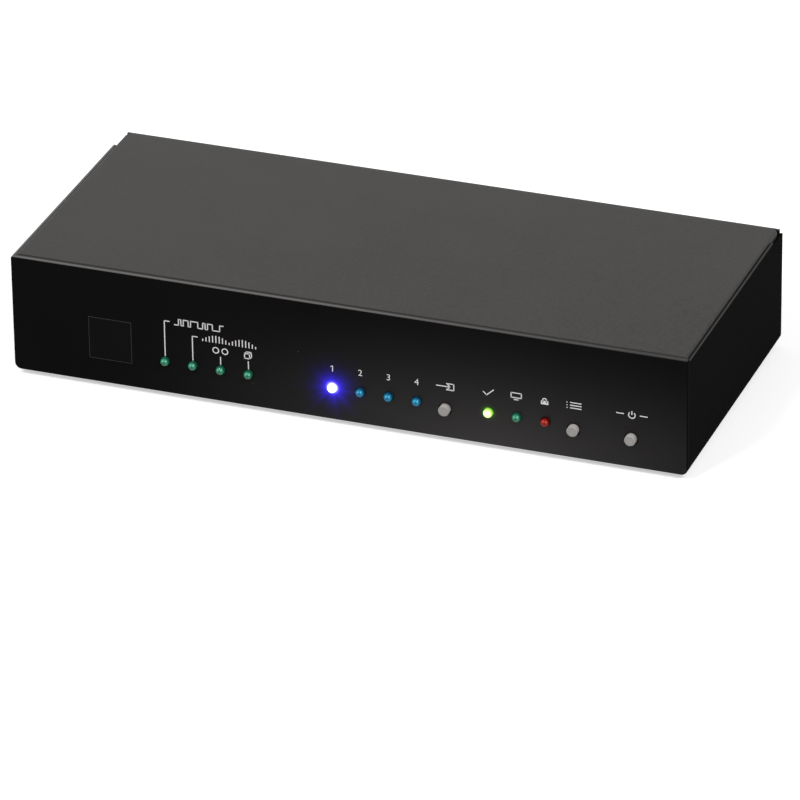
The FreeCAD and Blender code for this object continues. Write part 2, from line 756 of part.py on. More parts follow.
def make_optical_port():
    where = {"x": OPTICAL, "y": f"{FRONT} + depth", "z": ON_BOARD}
    port = new_body("optical_port", **where)
    floor = "optical_reach - mouth_depth"
    pad(port, "XZ", "optical_reach - optical_depth", "optical_depth", rectangle(
        "-optical_side / 2", "0", "optical_side / 2", "optical_height + optical_side / 2"))
    pocket(port, "XZ", floor, "mouth_depth", mouth_outline("0", "optical_height + mouth_height / 2"))
    pad(port, "XZ", floor, "lens_length", circle("0", "optical_height", "lens_radius"))
    hinge_y = "(optical_reach - shutter_recess - knuckle_radius)"
    hinge_z = "(optical_height + mouth_height / 2 - shutter_gap - knuckle_radius)"
    pocket(port, "YZ", "-mouth_width / 2 - pivot_length", "mouth_width + 2 * pivot_length", circle(
        hinge_y, hinge_z, "pivot_radius + pivot_gap"))
    shutter = new_body("optical_shutter", **where)
    flap, reach = "(mouth_width / 2 - shutter_gap)", "(mouth_width / 2 + pivot_length - pivot_gap)"
    pad(shutter, "XZ", f"{hinge_y} - shutter_wall / 2", "shutter_wall", mouth_outline(
        "shutter_gap", hinge_z))
    pad(shutter, "YZ", f"-{flap}", f"2 * {flap}", circle(hinge_y, hinge_z, "knuckle_radius"))
    pad(shutter, "YZ", f"-{reach}", f"2 * {reach}", circle(hinge_y, hinge_z, "pivot_radius"))


# Chips, heat sink and capacitors

def make_chips():
    for name in ("video", "audio", "controller"):
        side = f"{name}_chip_side"
        piece(f"{name}_chip", block(f"{LEFT} + {name}_chip_x - {side} / 2", f"{name}_chip_y - {side} / 2",
                                    BOARD_TOP, side, side, "chip_wall"))
    sink = new_body(
        "heat_sink", x=f"{LEFT} + video_chip_x", y=f"{FRONT} + video_chip_y", z=f"{ON_BOARD} + chip_wall")
    half = "video_chip_side / 2"
    pad(sink, "XY", "0", "heatsink_base", centred("0", "0", half, half))
    fin = pad(sink, "XY", "heatsink_base", "heatsink_height - heatsink_base", rectangle(
        f"-{half}", f"-{half}", f"-{half} + fin_wall", half))
    fins = sink.newObject("PartDesign::LinearPattern", "heat_sink_fins")
    fins.Originals = [fin]
    fins.Direction = (fin.Profile[0], ["H_Axis"])
    gaps = "floor((video_chip_side - fin_wall) / fin_pitch)"
    fins.setExpression("Length", bound(f"{gaps} * fin_pitch"))
    fins.Occurrences = int(value(gaps)) + 1
    sink.Tip = fins
    piece("filter_capacitors", *[
        rod(f"{LEFT} + capacitor_x", f"capacitor_y - {i} * capacitor_pitch", BOARD_TOP, "capacitor_radius",
            "capacitor_height")
        for i in range(CAPACITORS)
    ])


make_base_tray()
make_top_cover()
make_front_panel()
make_rear_panel()
make_feet()
make_ir_window()
make_ir_receiver()
for row, (_, leds) in LED_ROWS.items():
    make_led_carrier(row, len(leds))
    for i, name in enumerate(leds):
        make_led(name, led_x(row, i))
for name, x in BUTTONS.items():
    make_switch(name, x)
    make_button(name, x)
make_board()
make_fasteners()
for name, x in HDMI.items():
    make_hdmi(name, x)
for name, x in JACKS.items():
    make_jack(name, x)
make_inlet()
make_optical_port()
make_chips()
doc.recompute()

for item in doc.Objects:
    if {"Invalid", "Error"} & set(item.State):
        raise RuntimeError(f"{item.Name} failed: {item.State}")
os.makedirs("parts", exist_ok=True)
for item in pieces:
    if item.Shape.isNull() or not item.Shape.isValid():
        raise RuntimeError(f"{item.Label} has no valid shape")
for item in pieces:
    item.Shape.exportStep(os.path.join("parts", f"{item.Label}.step"))
print(f"{len(pieces)} pieces written")
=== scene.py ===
import json
import math

import bmesh
import bpy
from mathutils import Matrix, Vector


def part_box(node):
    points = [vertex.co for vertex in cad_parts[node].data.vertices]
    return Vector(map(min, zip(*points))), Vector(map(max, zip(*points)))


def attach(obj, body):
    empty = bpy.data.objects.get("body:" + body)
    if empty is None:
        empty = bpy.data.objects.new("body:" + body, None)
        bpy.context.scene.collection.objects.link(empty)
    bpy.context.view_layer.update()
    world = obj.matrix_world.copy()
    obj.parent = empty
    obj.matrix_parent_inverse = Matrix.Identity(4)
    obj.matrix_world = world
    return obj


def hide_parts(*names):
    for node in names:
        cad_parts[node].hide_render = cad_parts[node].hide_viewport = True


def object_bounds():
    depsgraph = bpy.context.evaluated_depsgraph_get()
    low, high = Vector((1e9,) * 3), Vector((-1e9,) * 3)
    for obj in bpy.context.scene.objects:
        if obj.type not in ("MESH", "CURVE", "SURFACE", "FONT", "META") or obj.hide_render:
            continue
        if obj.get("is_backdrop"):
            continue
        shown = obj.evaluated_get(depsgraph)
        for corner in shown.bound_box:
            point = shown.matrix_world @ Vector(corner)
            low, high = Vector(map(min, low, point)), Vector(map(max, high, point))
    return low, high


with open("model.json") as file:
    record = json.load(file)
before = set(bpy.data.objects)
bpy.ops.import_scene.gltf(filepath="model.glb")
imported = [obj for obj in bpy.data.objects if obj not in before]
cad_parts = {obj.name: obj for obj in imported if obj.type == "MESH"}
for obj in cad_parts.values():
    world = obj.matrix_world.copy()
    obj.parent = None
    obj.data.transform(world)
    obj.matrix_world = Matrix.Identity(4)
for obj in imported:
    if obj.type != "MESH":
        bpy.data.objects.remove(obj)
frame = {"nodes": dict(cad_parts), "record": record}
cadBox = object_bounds()
nodes = frame["nodes"]
mm = 0.001
scene = bpy.context.scene
print("frame loaded:", len(nodes), "nodes")


# Camera at the photo's angle, pale floor, white surroundings and two soft boxes

camera = {
    "place": (0.6805, -1.8336, 1.0131),
    "right": (0.93938, 0.34268, -0.01168),
    "up": (-0.14988, 0.44104, 0.88488),
    "lens": 316.9,
    "sensor": 36,
    "clip": (0.05, 50),
}
right, up = Vector(camera["right"]).normalized(), Vector(camera["up"]).normalized()
cameraData = bpy.data.cameras.new("camera")
cameraData.sensor_fit = "HORIZONTAL"
cameraData.sensor_width = camera["sensor"]
cameraData.lens = camera["lens"]
cameraData.clip_start, cameraData.clip_end = camera["clip"]
cameraObject = bpy.data.objects.new("camera", cameraData)
cameraObject.matrix_world = Matrix.Translation(camera["place"]) @ Matrix(
    (right, up, right.cross(up))).transposed().to_4x4()
scene.collection.objects.link(cameraObject)
scene.camera = cameraObject
scene.view_settings.view_transform = "Standard"


def setSockets(tree, node, sockets):
    for key, source in sockets.items():
        if isinstance(source, bpy.types.NodeSocket):
            tree.links.new(source, node.inputs[key])
        else:
            node.inputs[key].default_value = source


def addNode(tree, kind, sockets=None, **settings):
    node = tree.nodes.new(kind)
    for key, setting in settings.items():
        setattr(node, key, setting)
    setSockets(tree, node, sockets or {})
    return node


def addMath(tree, operation, first, second=0):
    return addNode(tree, "ShaderNodeMath", {0: first, 1: second}, operation=operation).outputs[0]


def seenDirectly(tree):  # 1 for rays that show the background: camera, mirror and see-through rays
    path = addNode(tree, "ShaderNodeLightPath").outputs
    either = addMath(tree, "MAXIMUM", path["Is Camera Ray"], path["Is Glossy Ray"])
    return addMath(tree, "MAXIMUM", either, path["Is Transmission Ray"])


floorLook = {"half": 6.0, "below": 0.05, "paint": (0.8, 0.8, 0.8, 1), "fill": 0.53}
bm = bmesh.new()
bmesh.ops.create_grid(bm, x_segments=1, y_segments=1, size=floorLook["half"],
                      matrix=Matrix.Translation((0, 0, -floorLook["below"] * mm)))
floorMesh = bpy.data.meshes.new("floor")
bm.to_mesh(floorMesh)
bm.free()
floor = bpy.data.objects.new("floor", floorMesh)
scene.collection.objects.link(floor)
floorPaint = bpy.data.materials.new("floorPaint")
floorPaint.use_nodes = True
tree = floorPaint.node_tree
tree.nodes.clear()
card = addNode(tree, "ShaderNodeBsdfDiffuse", {"Color": floorLook["paint"]})
fill = addNode(tree, "ShaderNodeEmission", {"Color": (1, 1, 1, 1), "Strength": floorLook["fill"]})
bright = addNode(tree, "ShaderNodeAddShader", {0: card.outputs[0], 1: fill.outputs[0]})
both = addNode(tree, "ShaderNodeMixShader", {0: seenDirectly(tree), 1: card.outputs[0], 2: bright.outputs[0]})
addNode(tree, "ShaderNodeOutputMaterial", {"Surface": both.outputs[0]})
floorMesh.materials.append(floorPaint)
floor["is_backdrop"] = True

world = bpy.data.worlds.new("studio")
world.use_nodes = True
scene.world = world
tree = world.node_tree
tree.nodes.clear()
skyLook = {"light": (0.36, 0.36, 0.36, 1), "seen": (1, 1, 1, 1)}
light = addNode(tree, "ShaderNodeBackground", {"Color": skyLook["light"]})
seen = addNode(tree, "ShaderNodeBackground", {"Color": skyLook["seen"]})
both = addNode(tree, "ShaderNodeMixShader", {0: seenDirectly(tree), 1: light.outputs[0], 2: seen.outputs[0]})
addNode(tree, "ShaderNodeOutputWorld", {"Surface": both.outputs[0]})

lamps = {  # azimuth from the front towards the right, elevation, distance, side of the soft box, watts
    "lampLeft": (-22, 46, 1.5, 0.3, 10.5),
    "lampRight": (56, 46, 1.5, 0.3, 8.0),
}
for name, (azimuth, elevation, distance, side, watts) in lamps.items():
    lamp = bpy.data.lights.new(name, "AREA")
    lamp.shape = "SQUARE"
    lamp.size = side
    lamp.energy = watts
    lampObject = bpy.data.objects.new(name, lamp)
    turn, lift = math.radians(azimuth), math.radians(elevation)
    towards = Vector((math.sin(turn) * math.cos(lift), -math.cos(turn) * math.cos(lift), math.sin(lift)))
    aim = towards.to_track_quat("Z", "Y").to_matrix().to_4x4()
    lampObject.matrix_world = Matrix.Translation(towards * distance) @ aim
    scene.collection.objects.link(lampObject)
print("camera, floor and lamps set")


# Finishes: every one is procedural and reads the object's own coordinates

def startFinish(name):
    material = bpy.data.materials.new(name)
    material.use_nodes = True
    tree = material.node_tree
    place = addNode(tree, "ShaderNodeTexCoord").outputs["Object"]
    return material, tree, tree.nodes["Principled BSDF"], place


def noise(tree, place, size, detail, stretch=None):  # size is the width of one blotch, in millimetres
    if stretch:
        place = addNode(tree, "ShaderNodeMapping", {"Vector": place, "Scale": stretch}).outputs[0]
    return addNode(tree, "ShaderNodeTexNoise", {
        "Vector": place, "Scale": 1 / (size * mm), "Detail": detail, "Roughness": 0.55}).outputs[0]


def spread(tree, fac, low, high, fromLow=0.3, fromHigh=0.7):
    return addNode(tree, "ShaderNodeMapRange", {
        "Value": fac, "From Min": fromLow, "From Max": fromHigh, "To Min": low, "To Max": high}).outputs[0]


def blendColours(tree, fac, first, second, kind="MIX"):
    return addNode(tree, "ShaderNodeMix", {0: fac, 6: first, 7: second},
                   data_type="RGBA", blend_type=kind).outputs[2]


def blendLevels(tree, fac, first, second):
    return addNode(tree, "ShaderNodeMix", {0: fac, 2: first, 3: second}).outputs[0]


def along(tree, place, axis):
    return addNode(tree, "ShaderNodeSeparateXYZ", {0: place}).outputs[axis]


def addBumps(tree, shader, height, depth):  # depth in millimetres
    bump = addNode(tree, "ShaderNodeBump", {"Height": height, "Strength": 1.0, "Distance": depth * mm})
    tree.links.new(bump.outputs[0], shader.inputs["Normal"])


def shade(colour, factor):
    return tuple(min(1, part * factor) for part in colour[:3]) + (1,)


def powderCoat(name, look):
    material, tree, shader, place = startFinish(name)
    grain = noise(tree, place, look["grain"], 3)
    cloud = noise(tree, place, look["cloud"], 4)
    dark, pale, bright = (shade(look["colour"], factor) for factor in paintShades)
    colour = blendColours(tree, spread(tree, cloud, 0, 1), dark, pale)
    colour = blendColours(tree, spread(tree, grain, 0, look["speckle"]), colour, bright)
    specks = addNode(tree, "ShaderNodeTexVoronoi", {"Vector": place, "Scale": 1 / (dust["gap"] * mm)})
    level = spread(tree, specks.outputs["Distance"], dust["level"], 0, *dust["edge"])
    colour = blendColours(tree, level, colour, dust["colour"])
    rough = spread(tree, grain, *look["rough"])
    gloss = spread(tree, grain, look["gloss"] * (1 - look["mottle"]), look["gloss"] * (1 + look["mottle"]))
    if "slope" in look:  # one corner is a little glossier than the one across
        slope = addNode(tree, "ShaderNodeVectorMath", {0: place, 1: look["slope"]}, operation="DOT_PRODUCT")
        gloss = addMath(tree, "ADD", gloss, slope.outputs["Value"])
    if "sheen" in look:  # a broad patch where the paint is rubbed glossier
        sheen = look["sheen"]
        patch = addNode(tree, "ShaderNodeMapping", {
            "Vector": place, "Location": Vector(sheen["centre"]) * mm, "Scale": Vector(sheen["half"]) * mm},
            vector_type="TEXTURE").outputs[0]
        patch = addNode(tree, "ShaderNodeTexGradient", {"Vector": patch}, gradient_type="QUADRATIC_SPHERE")
        gloss = spread(tree, patch.outputs["Fac"], gloss, sheen["gloss"], 0, 1)
    for bend in look.get("bends", ()):  # bands along the sheet's bends and edges get their own colour and gloss: the darker ones are painted shade, the paler ones painted highlight
        level = spread(tree, along(tree, place, bend["axis"]), 1, 0, bend["from"] * mm, bend["to"] * mm)
        colour = blendColours(tree, level, colour, bend["colour"])
        gloss = blendLevels(tree, level, gloss, bend["gloss"])
    if "top" in look:  # the edge that looks up is painted smoother, paler and glossier: a painted highlight
        top = look["top"]
        level = spread(tree, along(tree, place, "Z"), 0, 1, top["from"] * mm, top["to"] * mm)
        topHighlight = level
        if "beyond" in top:  # only beyond a distance to the right
            outer = spread(tree, along(tree, place, "X"), 0, 1, *(part * mm for part in top["beyond"]))
            topHighlight = addMath(tree, "MULTIPLY", level, outer)
        colour = blendColours(tree, topHighlight, colour, top["colour"])
        gloss = blendLevels(tree, topHighlight, gloss, top["gloss"])
        rough = blendLevels(tree, topHighlight, rough, top["rough"])
        if "rim" in top:  # its outer part gets the brightest painted highlight
            rim = top["rim"]
            if "inside" in rim:  # on the wall's inner face also further down
                inner = spread(tree, along(tree, place, "X"), 0, 1, *(part * mm for part in rim["inside"]))
                deep = spread(tree, along(tree, place, "Z"), 0, 1, *(part * mm for part in rim["down"]))
                level = addMath(tree, "MAXIMUM", level, addMath(tree, "MULTIPLY", deep, inner))
            outer = spread(tree, along(tree, place, rim["axis"]), 1, 0, rim["from"] * mm, rim["to"] * mm)
            level = addMath(tree, "MULTIPLY", level, outer)
            if "fade" in rim:  # less so towards the right
                less = spread(tree, along(tree, place, "X"), 1, rim["least"],
                              *(part * mm for part in rim["fade"]))
                level = addMath(tree, "MULTIPLY", level, less)
            colour = blendColours(tree, level, colour, rim["colour"])
            gloss = blendLevels(tree, level, gloss, rim["gloss"])
    setSockets(tree, shader, {"Base Color": colour, "Roughness": rough, "Specular IOR Level": gloss,
                              "Specular Tint": look.get("tint", (1, 1, 1, 1))})
    addBumps(tree, shader, grain, look["depth"])
    return material


def mouldedPlastic(name, look):
    material, tree, shader, place = startFinish(name)
    grain = noise(tree, place, look["grain"], 2)
    flow = noise(tree, place, look["flow"], 3, look.get("stretch"))
    dark, pale = (shade(look["colour"], factor) for factor in plasticShades)
    colour = blendColours(tree, spread(tree, flow, 0, 1), dark, pale)
    if "edge" in look:  # a pale hairline along the film's edge: a painted highlight
        edge = look["edge"]
        centre = Vector(edge["centre"]) * mm
        offset = addNode(tree, "ShaderNodeVectorMath", {0: place, 1: centre}, operation="SUBTRACT").outputs[0]
        offset = addNode(tree, "ShaderNodeVectorMath", {0: offset}, operation="ABSOLUTE").outputs[0]
        away = addMath(tree, "MAXIMUM", along(tree, offset, "X"), along(tree, offset, "Z"))
        line = spread(tree, away, 0, 1, edge["from"] * mm, edge["to"] * mm)
        colour = blendColours(tree, line, colour, edge["colour"])
    if "face" in look:  # the front end is painted darker: painted shade
        face = look["face"]
        shadedFace = spread(tree, along(tree, place, "Y"), 1, 0, face["from"] * mm, face["to"] * mm)
        colour = blendColours(tree, shadedFace, colour, face["colour"])
    if "glow" in look:  # light that soaks into milky resin
        setSockets(tree, shader, {"Subsurface Weight": look["glow"], **softResin})
    setSockets(tree, shader, {
        "Base Color": colour,
        "Roughness": spread(tree, grain, *look["rough"]),
        "Specular IOR Level": look["gloss"],
    })
    addBumps(tree, shader, grain, look["depth"])
    return material


def platedMetal(name, look):
    material, tree, shader, place = startFinish(name)
    lines = noise(tree, place, look["line"], 3, look["stretch"])
    stain = noise(tree, place, look["stain"], 4)
    colour = blendColours(tree, spread(tree, stain, 0, 1), shade(look["colour"], stainShade), look["colour"])
    setSockets(tree, shader, {
        "Base Color": colour,
        "Metallic": 1.0,
        "Roughness": spread(tree, lines, *look["rough"]),
    })
    addBumps(tree, shader, lines, look["depth"])
    return material


paintShades = (0.88, 1.12, 2)
dust = {"gap": 9, "level": 0.5, "edge": (0.012, 0.03), "colour": (0.09, 0.085, 0.08, 1)}
plasticShades = (0.9, 1.08)
stainShade = 0.82
softResin = {"Subsurface Radius": (1, 1, 1), "Subsurface Scale": 0.6 * mm}
coats = {
    "cover_paint": {"colour": (0.0235, 0.0225, 0.0205, 1), "rough": (0.48, 0.64), "gloss": 0.325,
                    "grain": 0.9, "cloud": 30, "depth": 0.025, "speckle": 0.4, "mottle": 0.3,
                    "slope": (-0.32, 0.65, 0),
                    # the lid's front bend is painted darker (painted shade) and its left bend paler (painted
                    # highlight)
                    "bends": ({"axis": "Y", "from": -48.75, "to": -48.5,
                               "colour": (0.0135, 0.013, 0.0125, 1), "gloss": 0.19},
                              {"axis": "X", "from": -108.75, "to": -108.25,
                               "colour": (0.12, 0.118, 0.114, 1), "gloss": 0.4})},
    "case_paint": {"colour": (0.0045, 0.0042, 0.0042, 1), "rough": (0.6, 0.76), "gloss": 0.005,
                   "grain": 0.32, "cloud": 26, "depth": 0.012, "speckle": 0.2, "mottle": 0.2,
                   "sheen": {"centre": (-110, 0, 20), "half": (60, 200, 120), "gloss": 0.16},
                   # the right wall's outer face is painted a little darker: painted shade
                   "bends": ({"axis": "X", "from": 109.95, "to": 109.9,
                              "colour": (0.0033, 0.003, 0.0031, 1), "gloss": 0.0042},),
                   # the right wall's top edge and the left wall's top and inner lip are painted paler:
                   # painted highlight
                   "top": {"from": 40.2, "to": 40.45, "colour": (0.014, 0.0135, 0.013, 1), "gloss": 0.19,
                           "rough": 0.55, "beyond": (109.4, 109.5),
                           "rim": {"axis": "X", "from": -105.1, "to": -105,
                                   "colour": (0.09, 0.088, 0.086, 1), "gloss": 0.5,
                                   "inside": (-109.7, -109.6), "down": (38.6, 38.8)}}},
    "rear_paint": {"colour": (0.0075, 0.007, 0.007, 1), "rough": (0.55, 0.7), "gloss": 0.12, "grain": 0.32,
                   "cloud": 26, "depth": 0.012, "speckle": 0.2, "mottle": 0.2,
                   # the rear panel's top edge is painted paler: painted highlight
                   "top": {"from": 40.2, "to": 40.45, "colour": (0.025, 0.024, 0.0225, 1), "gloss": 0.345,
                           "rough": 0.55}},
    "face_paint": {"colour": (0.0042, 0.0038, 0.0040, 1), "rough": (0.42, 0.52), "gloss": 0.007,
                   "tint": (1, 0.95, 0.93, 1), "grain": 0.22, "cloud": 34, "depth": 0.005, "speckle": 0.2,
                   "mottle": 0.1,
                   "sheen": {"centre": (50, -51.1, 0), "half": (138, 0.06, 48), "gloss": 0.37},
                   # the front panel's right edge is painted darker: painted shade
                   "bends": ({"axis": "X", "from": 109.9, "to": 109.75,
                              "colour": (0.0035, 0.0033, 0.0034, 1), "gloss": 0.0025},),
                   # the panel's top edge is painted paler, brightest at its front rim and less so towards the
                   # right: painted highlight
                   "top": {"from": 40.8, "to": 40.95, "colour": (0.015, 0.0145, 0.0138, 1), "gloss": 0.23,
                           "rough": 0.5,
                           "rim": {"axis": "Y", "from": -50.1, "to": -50,
                                   "colour": (0.055, 0.053, 0.05, 1), "gloss": 0.85,
                                   "fade": (-20, 95), "least": 0.1}}},
}
plastics = {
    "foot_rubber": {"colour": (0.018, 0.018, 0.018, 1), "rough": (0.7, 0.85), "gloss": 0.25, "grain": 0.4,
                    "flow": 5, "depth": 0.02},
    "window_tint": {"colour": (0.004, 0.0036, 0.004, 1), "rough": (0.3, 0.36), "gloss": 0.02, "grain": 3.0,
                    "flow": 8, "depth": 0.002,
                    # pale hairline at the edge: painted highlight
                    "edge": {"centre": (-77.45, 0, 17.25), "from": 6.96, "to": 6.98,
                             "colour": (0.045, 0.044, 0.042, 1)}},
    "receiver_resin": {"colour": (0.012, 0.01, 0.012, 1), "rough": (0.2, 0.3), "gloss": 0.5, "grain": 0.5,
                       "flow": 3, "depth": 0.003},
    "carrier_plastic": {"colour": (0.012, 0.012, 0.012, 1), "rough": (0.5, 0.6), "gloss": 0.3, "grain": 0.3,
                        "flow": 6, "depth": 0.01},
    "button_plastic": {"colour": (0.42, 0.4, 0.385, 1), "rough": (0.45, 0.58), "gloss": 0.35, "grain": 0.15,
                       "flow": 2, "depth": 0.002, "glow": 0.15,
                       # front end painted darker: painted shade
                       "face": {"from": -52.78, "to": -52.6, "colour": (0.27, 0.255, 0.245, 1)}},
    "switch_plastic": {"colour": (0.02, 0.02, 0.02, 1), "rough": (0.45, 0.55), "gloss": 0.4, "grain": 0.3,
                       "flow": 4, "depth": 0.006},
    "tongue_plastic": {"colour": (0.012, 0.012, 0.012, 1), "rough": (0.35, 0.5), "gloss": 0.4, "grain": 0.2,
                       "flow": 3, "depth": 0.004},
    "jack_orange": {"colour": (0.72, 0.16, 0.015, 1), "rough": (0.25, 0.38), "gloss": 0.5, "grain": 0.4,
                    "flow": 4, "depth": 0.004, "glow": 0.1},
    "jack_white": {"colour": (0.68, 0.67, 0.63, 1), "rough": (0.25, 0.38), "gloss": 0.5, "grain": 0.4,
                   "flow": 4, "depth": 0.004, "glow": 0.1},
    "jack_red": {"colour": (0.5, 0.015, 0.012, 1), "rough": (0.25, 0.38), "gloss": 0.5, "grain": 0.4,
                 "flow": 4, "depth": 0.004, "glow": 0.1},
    "inlet_plastic": {"colour": (0.012, 0.012, 0.012, 1), "rough": (0.35, 0.5), "gloss": 0.4, "grain": 0.3,
                      "flow": 4, "depth": 0.006},
    "port_plastic": {"colour": (0.014, 0.014, 0.014, 1), "rough": (0.4, 0.55), "gloss": 0.35, "grain": 0.3,
                     "flow": 4, "depth": 0.006},
    "shutter_plastic": {"colour": (0.045, 0.045, 0.047, 1), "rough": (0.4, 0.55), "gloss": 0.35,
                        "grain": 0.25, "flow": 3, "depth": 0.005},
    "chip_resin": {"colour": (0.016, 0.016, 0.016, 1), "rough": (0.5, 0.65), "gloss": 0.3, "grain": 0.2,
                   "flow": 3, "depth": 0.008},
    "board_laminate": {"colour": (0.012, 0.09, 0.035, 1), "rough": (0.28, 0.4), "gloss": 0.5, "grain": 0.8,
                       "flow": 2.5, "depth": 0.004, "stretch": (1, 0.15, 1)},
    "capacitor_sleeve": {"colour": (0.014, 0.014, 0.03, 1), "rough": (0.2, 0.32), "gloss": 0.5,
                         "grain": 0.6, "flow": 4, "depth": 0.003, "stretch": (1, 1, 0.2)},
}
metals = {
    "zinc_steel": {"colour": (0.55, 0.55, 0.52, 1), "rough": (0.3, 0.45), "line": 0.3, "stain": 3,
                   "stretch": (1, 1, 0.3), "depth": 0.003},
    "screw_steel": {"colour": (0.035, 0.035, 0.038, 1), "rough": (0.35, 0.5), "line": 0.25, "stain": 2,
                    "stretch": (1, 0.3, 1), "depth": 0.004},
    "socket_steel": {"colour": (0.62, 0.61, 0.58, 1), "rough": (0.2, 0.34), "line": 0.12, "stain": 4,
                     "stretch": (0.12, 1, 1), "depth": 0.002},
    "barrel_nickel": {"colour": (0.66, 0.63, 0.57, 1), "rough": (0.12, 0.22), "line": 0.1, "stain": 3,
                      "stretch": (1, 0.15, 1), "depth": 0.0015},
    "pin_nickel": {"colour": (0.66, 0.63, 0.57, 1), "rough": (0.15, 0.25), "line": 0.1, "stain": 2,
                   "stretch": (1, 0.15, 1), "depth": 0.0015},
    "contact_gold": {"colour": (0.78, 0.52, 0.18, 1), "rough": (0.18, 0.3), "line": 0.1, "stain": 2,
                     "stretch": (1, 0.15, 1), "depth": 0.001},
    "sink_aluminium": {"colour": (0.05, 0.05, 0.052, 1), "rough": (0.4, 0.55), "line": 0.2, "stain": 4,
                       "stretch": (1, 1, 0.2), "depth": 0.004},
}
finishes = {}
for looks, makeFinish in ((coats, powderCoat), (plastics, mouldedPlastic), (metals, platedMetal)):
    for name, look in looks.items():
        finishes[name] = makeFinish(name, look)


# Lamps of the front panel: tinted resin, the light of the two that are on, and a painted glow around those
# two on the panel

# heart, ring and rim colours paint each unlit dome lighter inside and darker at its rim: painted light and
# painted shade
lampLooks = {
    "led_green": {"rim": (0.003, 0.06, 0.032, 1), "heart": (0.0, 0.1, 0.05, 1),
                  "ring": (0.013, 0.225, 0.12, 1), "glint": (0.22, 0.8, 0.55, 1)},
    "led_blue": {"rim": (0.0, 0.03, 0.07, 1), "heart": (0.0, 0.1, 0.24, 1), "ring": (0.0, 0.21, 0.38, 1),
                 "glint": (0.1, 0.7, 1, 1), "gloss": 0.28},
    "led_red": {"rim": (0.025, 0.0, 0.0, 1), "heart": (0.12, 0.001, 0.001, 1),
                "ring": (0.34, 0.004, 0.001, 1), "glint": (0.8, 0.14, 0.06, 1), "gloss": 0.2},
    "led_green_lit": {"rim": (0.1, 0.34, 0.015, 1), "heart": (0.86, 1, 0.42, 1), "ring": (0.56, 0.9, 0.18, 1),
                      "core": 0.66, "strength": 1.0, "halo": (((0.02, 0.12, 0.003, 1), 0.4, 0.0),)},
    "led_blue_lit": {"rim": (0.45, 0.45, 1, 1), "heart": (1, 1, 1, 1), "ring": (0.8, 0.8, 1, 1),
                     "core": 0.86, "strength": 1.5,
                     "halo": (((0.9, 0.9, 1.2, 1), 0.22, 0.0), ((0.055, 0.022, 1.5, 1), 1.5, 0.2))},
}
lampRadius = 1.5
# two pale spots on each lamp's dome: painted highlights
glints = {"places": ((-0.3, 0.6), (0.62, 0.6)), "inner": 0.136, "radius": 0.34, "level": 0.65}
resin = {"swirl": 0.9, "blend": 0.25, "rough": (0.07, 0.12), "gloss": 0.36, "depth": 0.01,
         "core": 0.25, "rim": 0.99}
lead = {"colour": (0.5, 0.5, 0.48, 1), "before": 0.02}
rayScale = 5.0


def fromAxis(tree, place, centre):  # distance from a lamp's axis, in millimetres
    offset = addNode(tree, "ShaderNodeMapping", {
        "Vector": place, "Location": -Vector(centre) / mm, "Scale": (1 / mm, 1 / mm, 1 / mm)})
    offset = addNode(tree, "ShaderNodeVectorMath", {0: offset.outputs[0], 1: (1, 0, 1)}, operation="MULTIPLY")
    length = addNode(tree, "ShaderNodeVectorMath", {0: offset.outputs[0]}, operation="LENGTH")
    return offset.outputs[0], length.outputs["Value"]


def lampResin(name, look, centre, base):
    material, tree, shader, place = startFinish(name)
    _, away = fromAxis(tree, place, centre)
    # the ramp paints the dome lighter inside and darker at its rim: on the unlit lamps, painted light and
    # painted shade
    ramp = addNode(tree, "ShaderNodeValToRGB", {"Fac": addMath(tree, "DIVIDE", away, lampRadius)})
    stops, core = ramp.color_ramp.elements, look.get("core", resin["core"])
    stops[0].position, stops[0].color = core, look["heart"]
    stops[1].position, stops[1].color = resin["rim"], look["rim"]
    stops.new((1 + core) / 2).color = look["ring"]
    swirl = noise(tree, place, resin["swirl"], 2)
    colour = blendColours(tree, spread(tree, swirl, 0, resin["blend"]), ramp.outputs[0], look["ring"])
    for x, z in glints["places"]:  # two pale spots on each dome: painted highlights
        _, away = fromAxis(tree, place, (centre[0] + x * mm, 0, centre[2] + z * mm))
        spot = spread(tree, away, glints["level"], 0, glints["inner"], glints["radius"])
        colour = blendColours(tree, spot, colour, look.get("glint", (1, 1, 1, 1)))
    isLead = addMath(tree, "GREATER_THAN", along(tree, place, "Y"), base)
    setSockets(tree, shader, {
        "Base Color": blendColours(tree, isLead, colour, lead["colour"]),
        "Metallic": isLead,
        "Roughness": spread(tree, swirl, *resin["rough"]),
        "Specular IOR Level": look.get("gloss", resin["gloss"]),
    })
    if "strength" in look:
        light = blendColours(tree, isLead, colour, (0, 0, 0, 1))
        setSockets(tree, shader, {"Emission Color": light, "Emission Strength": look["strength"]})
    addBumps(tree, shader, swirl, resin["depth"])
    return material


def addPaintedGlow(face, lit):  # the panel's paint gets a painted glow: emission with rays around the lamps that are on stands in for their light on it
    tree = face.node_tree
    place = next(node for node in tree.nodes if node.type == "TEX_COORD").outputs["Object"]
    total = None
    for centre, look in lit:
        offset, away = fromAxis(tree, place, centre)
        aim = addNode(tree, "ShaderNodeVectorMath", {0: offset}, operation="NORMALIZE").outputs[0]
        wave = addNode(tree, "ShaderNodeTexNoise", {
            "Vector": aim, "Scale": rayScale, "Detail": 1.0}).outputs[0]
        past = addMath(tree, "SUBTRACT", lampRadius, away)
        for colour, reach, rays in look["halo"]:
            reach = spread(tree, wave, reach * (1 - rays), reach * (1 + rays))
            level = addMath(tree, "EXPONENT", addMath(tree, "DIVIDE", past, reach))
            light = blendColours(tree, level, (0, 0, 0, 1), colour)
            total = light if total is None else blendColours(tree, 1.0, total, light, "ADD")
    shader = next(node for node in tree.nodes if node.type == "BSDF_PRINCIPLED")
    setSockets(tree, shader, {"Emission Color": total, "Emission Strength": 1.0})


